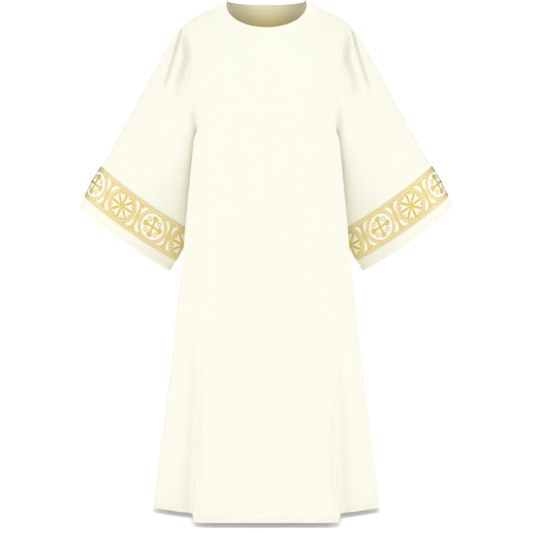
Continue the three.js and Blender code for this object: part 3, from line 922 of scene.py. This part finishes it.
def woven_gold():
    """Flat metallised thread, bright but broken up by the weave."""
    made, tree, shader = new_material("woven gold and white")
    share = add(tree, "ShaderNodeAttribute", {}, attribute_name="gold").outputs["Fac"]
    crossing, uv, _ = weave_height(tree, GOLD_THREAD_MM)
    patch = add(tree, "ShaderNodeTexNoise", {
        "Vector": uv, "Scale": PATCHES_A_METRE, "Detail": 2.0, "Roughness": 0.6,
    }).outputs["Fac"]
    gold = add(tree, "ShaderNodeMix", {
        "Factor": patch, "A": linear(GOLD[0]), "B": linear(GOLD[1]),
    }, data_type="RGBA").outputs["Result"]
    colour = add(tree, "ShaderNodeMix", {
        "Factor": share, "A": linear(WHITE_THREAD), "B": gold,
    }, data_type="RGBA").outputs["Result"]
    tree.links.new(colour, shader.inputs["Base Color"])
    metal = add(tree, "ShaderNodeMath", {0: share, 1: 0.55}, operation="MULTIPLY").outputs[0]
    tree.links.new(metal, shader.inputs["Metallic"])
    bump = add(tree, "ShaderNodeBump", {"Height": crossing, "Strength": 0.3, "Distance": 0.0003})
    tree.links.new(bump.outputs["Normal"], shader.inputs["Normal"])
    shader.inputs["Roughness"].default_value = 0.4
    return made


gold_and_white = woven_gold()
print("material:", gold_and_white.name)

# %% Weave the bands
BAND_LIFT = 0.6
GOLD_LIFT = 0.3
EDGE_LIFT = 0.1
CROSS_AT_MM = 28  # a cross lies this far in front of the overarm fold
band_steps = steps(92)[0]
band_rises = spread_over([1.0, 2, 3], steps(205, 225))
last = np.array([1.0])  # the column at the seam
band_loop = armhole_of({side: panel_half(side, last, band_rises)[:, 0] for side in BODY})
base = pressed(sleeve_points(band_loop, np.linspace(BAND[1], BAND[0], band_steps + 1)))
away = outward(base, True)
midline = around(base)[band_steps // 2]
u = row_lengths(midline)
whole = u[-1]
u = np.where(u > whole / 2, u - whole, u)  # the band's ends meet under the arm
v = np.linspace(-BAND_HALF, BAND_HALF, band_steps + 1)
share = gold_thread(u[None, :-1] - CROSS_AT_MM, v[:, None])
raised = base + away * (BAND_LIFT + GOLD_LIFT * share)[..., None]
# The edges turn down to the sleeve.
turned = base + away * EDGE_LIFT
band_points = np.concatenate([turned[:1], raised, turned[-1:]])
band_share = np.concatenate([share[:1], share, share[-1:]])
band_v = np.concatenate([v[:1], v, v[-1:]])
galloons = {}
for hand, flip in (("left", 1), ("right", -1)):
    points, gold, run = band_points * [flip, 1, 1], band_share, u
    if flip < 0:
        points, gold = mirrored(points, gold)
        run = -u[::-1]
    uv = np.stack(np.broadcast_arrays(run[None], band_v[:, None]), 2)
    band = grid_object("galloon_" + hand + "_woven", points, uv, {"gold": gold}, closed=True)
    band.data.materials.append(gold_and_white)
    galloons[hand] = band
print("galloon:", band_points.shape[:2], "points,", round(whole), "mm round,",
      "gold covers", round(100 * share.mean()), "%")

# %% [markdown]
# ## Neck facing
#
# A narrow strip finishes the back neckline on the inside. It is cut from the
# back panel's own points, moved in by the cloth's thickness.

# %% Face the neck
FACING_ROWS = np.array([16, 15.8, 13.5, 11, 8, 5, 2.5, 0.6, 0.4])  # below the neckline
FACING_THICK_MM = 0.5
FACING_GAP_MM = 0.15
SUNK_MM = 0.65
SUNK_WIDE_MM = 7
NO_STITCHES_MM = 20  # distances that start here miss the stitch line
ENOUGH_ROWS = 22  # rows of the panel that reach past the facing

_, back_points, at_neck = panels["back"]
near = back_points[::-1][:ENOUGH_ROWS, at_neck]
inward = -outward(near[::-1])[::-1]
down = distances(near, 0)


def at_rows(grid):
    """A grid's values at the facing's rows."""
    columns = [
        [np.interp(FACING_ROWS, down[:, j], grid[:, j, k]) for k in range(3)]
        for j in range(grid.shape[1])
    ]
    return np.array(columns).transpose(2, 0, 1)


# Its lower edge is pressed into the cloth, so that no step shows.
sunk = SUNK_MM * (1 - ease((FACING_ROWS[0] - FACING_ROWS) / SUNK_WIDE_MM))[:, None, None]
strip = at_rows(near) + at_rows(inward) * (CLOTH_MM + FACING_GAP_MM - sunk)
strip_uv = np.stack([distances(strip, 1), distances(strip, 0) + NO_STITCHES_MM], 2)
facing = grid_object("neck_facing_cloth", strip, strip_uv, {"from_edge": strip_uv[..., 1]})
thicken(facing, FACING_THICK_MM, wrong_side, wrong_side)
print("facing:", strip.shape[:2], "points,", round(strip_uv[-1, -1, 0]), "mm long")

# %% [markdown]
# ## Put each piece on the body
#
# Each sheet rides on the one body and stands in for its solid, which is hidden.

# %% Place the pieces
for side, (panel, *_) in panels.items():
    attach(panel, "root")
    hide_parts(side + "_panel")
for hand in ("left", "right"):
    for piece, node, slot in (
        (sleeves[hand], "sleeve_" + hand, "cloth"),
        (galloons[hand], "galloon_" + hand, "galloon"),
    ):
        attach(piece, "root")
        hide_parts(node)
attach(facing, "root")
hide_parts("neck_facing")
print("declared:", len(panels) + len(sleeves) + len(galloons) + 1, "sheets of cloth")

# %% [markdown]
# ## Floor, light and camera
#
# The dalmatic hangs just over a pale floor in soft studio light: an even white
# room, and large lamps at both sides, in front, above and behind. Two small
# spots shine into the neck, which would be too dark otherwise. Gold that
# mirrors nothing but a white room looks washed out, so for reflections alone
# the room is dark behind and beside, as a studio's black screens make it.

# %% Floor
bpy.context.scene.view_settings.view_transform = "Standard"

FLOOR_Z = -1.331
FLOOR_CORNERS = [(-9, -6, FLOOR_Z), (9, -6, FLOOR_Z), (9, 12, FLOOR_Z), (-9, 12, FLOOR_Z)]
floor_mesh = bpy.data.meshes.new("floor")
floor_mesh.from_pydata(FLOOR_CORNERS, [], [(0, 1, 2, 3)])
floor = bpy.data.objects.new("floor", floor_mesh)
bpy.context.scene.collection.objects.link(floor)
paper, tree, shader = new_material("white studio paper")
shader.inputs["Base Color"].default_value = linear("#F6F6F5")
shader.inputs["Roughness"].default_value = 0.9
shader.inputs["Specular IOR Level"].default_value = 0.1
shader.inputs["Emission Color"].default_value = linear("#F0F5FF")
shader.inputs["Emission Strength"].default_value = 0.33
floor.data.materials.append(paper)

# %% White room
ROOM_LIGHT = 0.825
ROOM_SEEN = 1.15  # the room is brighter where it is only looked at

world = bpy.data.worlds.new("white room")
bpy.context.scene.world = world
world.use_nodes = True
tree = world.node_tree
seen = add(tree, "ShaderNodeLightPath", {}).outputs["Is Camera Ray"]
strength = add(tree, "ShaderNodeMapRange", {
    "Value": seen, "To Min": ROOM_LIGHT, "To Max": ROOM_SEEN,
})
tree.links.new(strength.outputs["Result"], tree.nodes["Background"].inputs["Strength"])
# Dark screens at the sides and behind, which only shiny thread mirrors.
direction = add(tree, "ShaderNodeTexCoord", {}).outputs["Generated"]
behind = add(tree, "ShaderNodeSeparateXYZ", {"Vector": direction}).outputs["Y"]
behind = add(tree, "ShaderNodeMapRange", {"Value": behind, "From Min": -0.5, "From Max": 0.4})
mirrored_only = add(tree, "ShaderNodeLightPath", {}).outputs["Is Glossy Ray"]
screens = add(tree, "ShaderNodeMath", {0: behind.outputs["Result"], 1: mirrored_only},
              operation="MULTIPLY").outputs[0]
room = add(tree, "ShaderNodeMix", {
    "Factor": screens, "A": linear("#FFF9F3"), "B": linear("#4A4238"),
}, data_type="RGBA").outputs["Result"]
room = add(tree, "ShaderNodeMix", {
    "Factor": seen, "A": room, "B": linear("#FFFFFF"),
}, data_type="RGBA").outputs["Result"]
tree.links.new(room, tree.nodes["Background"].inputs["Color"])
print("white room:", len(tree.nodes), "nodes")

# %% Lamps
DAYLIGHT = "#D7E9FF"
LAMPS = [
    # name, place, aimed at, size in metres, watts
    ("front", (0, -3.6, 0.6), (0, 0, -0.6), 2.6, 5),
    ("left", (3.3, -1.8, 0.1), (0.3, 0, -0.6), 1.8, 29),
    ("right", (-3.3, -1.8, 0.1), (-0.3, 0, -0.6), 1.8, 29),
    ("top", (0, -1.2, 2.6), (0, 0, -0.4), 2.0, 28),
    ("back", (0, 3.4, 0.3), (0, 0, -0.7), 2.6, 34),
]


def aimed(place, aim):
    """The rotation that points a lamp at place towards aim."""
    x, y, z = np.array(aim) - np.array(place)
    return math.atan2(math.hypot(x, y), -z), 0, math.atan2(y, x) - math.pi / 2


def hang(lamp, place, aim):
    """Puts a lamp at a place and points it at another."""
    holder = bpy.data.objects.new(lamp.name, lamp)
    holder.location = place
    holder.rotation_euler = aimed(place, aim)
    bpy.context.scene.collection.objects.link(holder)


for name, place, aim, size, watts in LAMPS:
    lamp = bpy.data.lights.new(name, "AREA")
    lamp.size = size
    lamp.energy = watts
    lamp.color = linear(DAYLIGHT)[:3]
    hang(lamp, place, aim)

for side in (1, -1):
    spot = bpy.data.lights.new("into the neck", "SPOT")
    spot.energy = 3.7
    spot.shadow_soft_size = 0.03
    spot.spot_size = math.radians(31)
    spot.spot_blend = 1.0
    hang(spot, (0.2 * side, -0.3, 0.2), (-0.05 * side, 0.05, -0.03))
print("lamps:", ", ".join(lamp.name for lamp in bpy.data.lights))

# %% Camera
CAMERA_DOWN = 4.126  # degrees below level
camera = bpy.data.objects.new("camera", bpy.data.cameras.new("camera"))
camera.location = (0, -4.2, -0.385)
camera.rotation_euler = (math.radians(90 - CAMERA_DOWN), 0, 0)
camera.data.sensor_width = 36
camera.data.lens = 109.08
bpy.context.scene.collection.objects.link(camera)
bpy.context.scene.camera = camera
print("camera:", round(camera.data.lens), "mm lens,", round(-camera.location.y, 1), "m in front")
